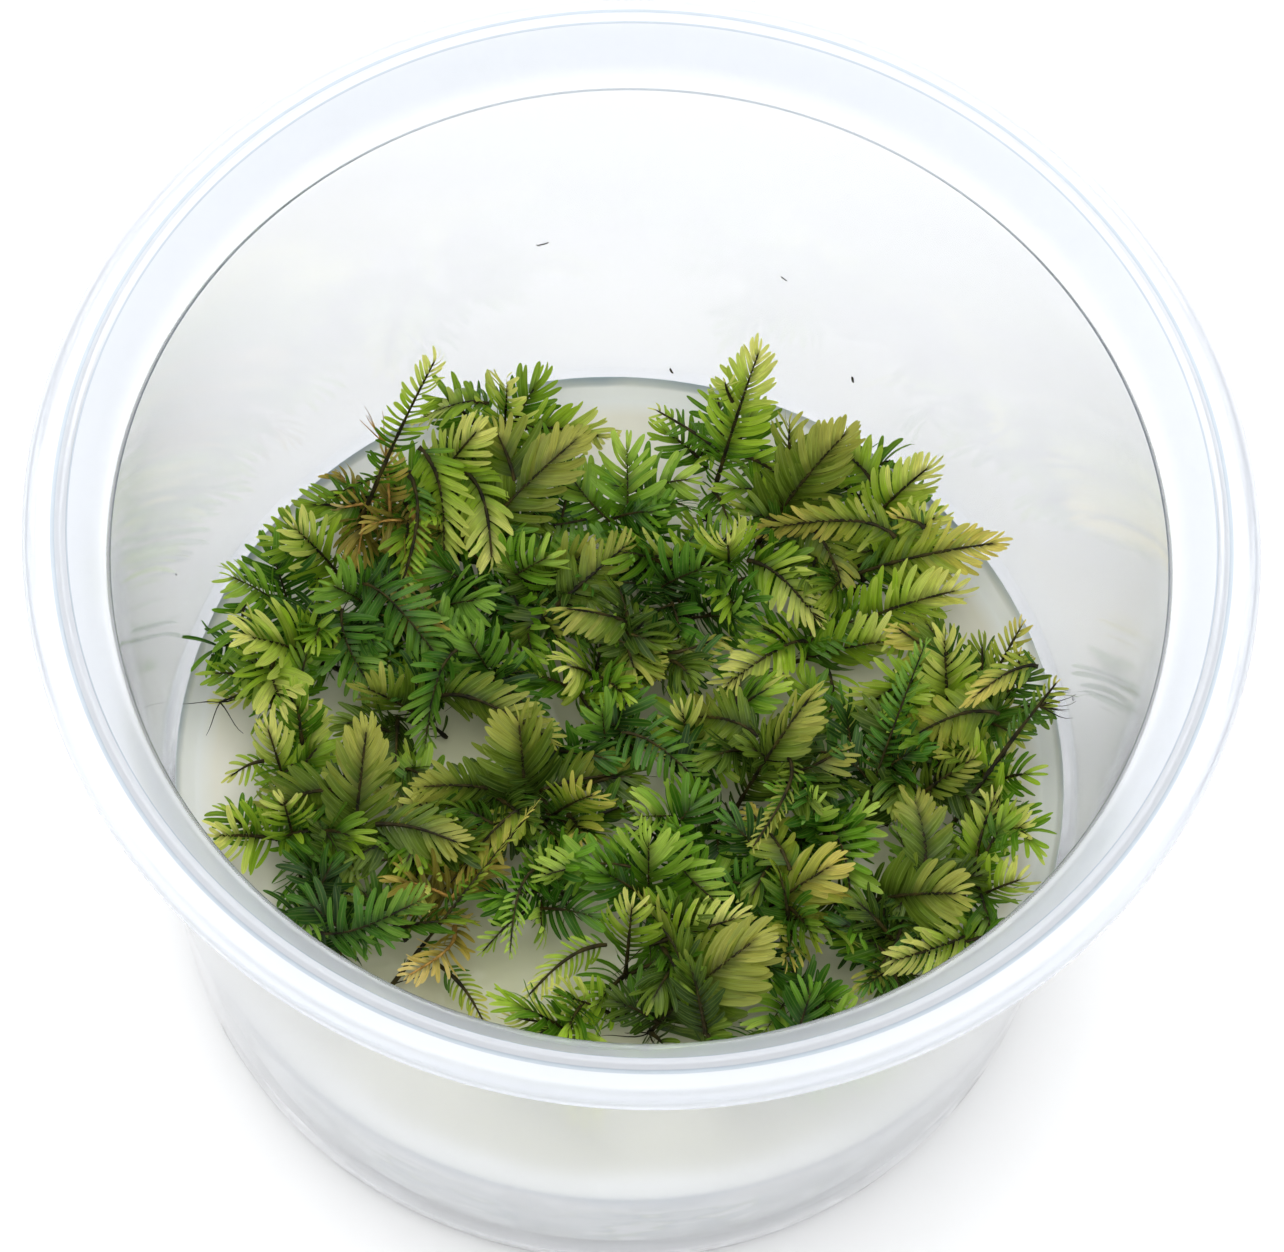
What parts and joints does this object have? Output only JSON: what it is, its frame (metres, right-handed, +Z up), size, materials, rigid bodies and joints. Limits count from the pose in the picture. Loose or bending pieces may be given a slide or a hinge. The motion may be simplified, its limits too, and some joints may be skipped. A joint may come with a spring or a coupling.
{
  "type": "tissue culture fissidens nobilis",
  "caption": "Open clear plastic culture cup with a snap rim, holding a disc of agar gel on which feathery aquatic moss sprigs stand in a dense tuft.",
  "frame": {"origin": "centre of the cup's underside, on the surface it stands on", "axes": "+Z up along the cup's axis; -Y is the side nearest the viewer in the picture, +X is to the viewer's right"},
  "size_m": [0.1, 0.1, 0.0704],
  "materials": {
    "cup": "clear moulded polypropylene, slightly hazy",
    "gel": "wet translucent agar",
    "leaf_bright": "fresh yellow-green leaf",
    "leaf_green": "mid-green leaf",
    "leaf_deep": "deep green leaf",
    "leaf_olive": "olive leaf with a brown stem",
    "leaf_amber": "wilted amber leaf",
    "leaf_amber_tip": "green leaf with an amber tip"
  },
  "bodies": {
    "root": {"cup": "cup", "gel": "gel", "sprig_back_left_1": "leaf_bright", "sprig_back_left_2": "leaf_amber", "sprig_back_left_3": "leaf_bright", "sprig_back_left_4": "leaf_bright", "sprig_back_left_5": "leaf_olive", "sprig_back_left_6": "leaf_bright", "sprig_back_left_7": "leaf_deep", "sprig_back_left_8": "leaf_deep", "sprig_back_left_9": "leaf_green", "sprig_back_left_10": "leaf_bright", "sprig_back_left_11": "leaf_green", "sprig_back_1": "leaf_green", "sprig_back_2": "leaf_bright", "sprig_back_3": "leaf_olive", "sprig_back_4": "leaf_bright", "sprig_back_5": "leaf_deep", "sprig_back_6": "leaf_deep", "sprig_back_7": "leaf_olive", "sprig_back_8": "leaf_olive", "sprig_back_right_1": "leaf_bright", "sprig_back_right_2": "leaf_bright", "sprig_back_right_3": "leaf_amber_tip", "sprig_back_right_4": "leaf_bright", "sprig_back_right_5": "leaf_bright", "sprig_centre_1": "leaf_bright", "sprig_centre_2": "leaf_olive", "sprig_centre_3": "leaf_deep", "sprig_centre_4": "leaf_deep", "sprig_centre_5": "leaf_olive", "sprig_centre_6": "leaf_amber_tip", "sprig_centre_7": "leaf_bright", "sprig_centre_8": "leaf_green", "sprig_centre_9": "leaf_olive", "sprig_right_1": "leaf_bright", "sprig_right_2": "leaf_amber_tip", "sprig_right_3": "leaf_amber_tip", "sprig_right_4": "leaf_deep", "sprig_right_5": "leaf_bright", "sprig_right_6": "leaf_olive", "sprig_right_7": "leaf_green", "sprig_front_right_1": "leaf_olive", "sprig_front_right_2": "leaf_bright", "sprig_front_right_3": "leaf_deep", "sprig_front_right_4": "leaf_amber_tip", "sprig_front_right_5": "leaf_green", "sprig_front_right_6": "leaf_deep", "sprig_front_1": "leaf_green", "sprig_front_2": "leaf_bright", "sprig_front_3": "leaf_olive", "sprig_front_4": "leaf_bright", "sprig_front_5": "leaf_green", "sprig_front_left_1": "leaf_amber_tip", "sprig_front_left_2": "leaf_amber", "sprig_front_left_3": "leaf_olive", "sprig_front_left_4": "leaf_bright", "sprig_front_left_5": "leaf_bright", "sprig_front_left_6": "leaf_deep", "sprig_front_left_7": "leaf_bright"}
  },
  "joints": []
}
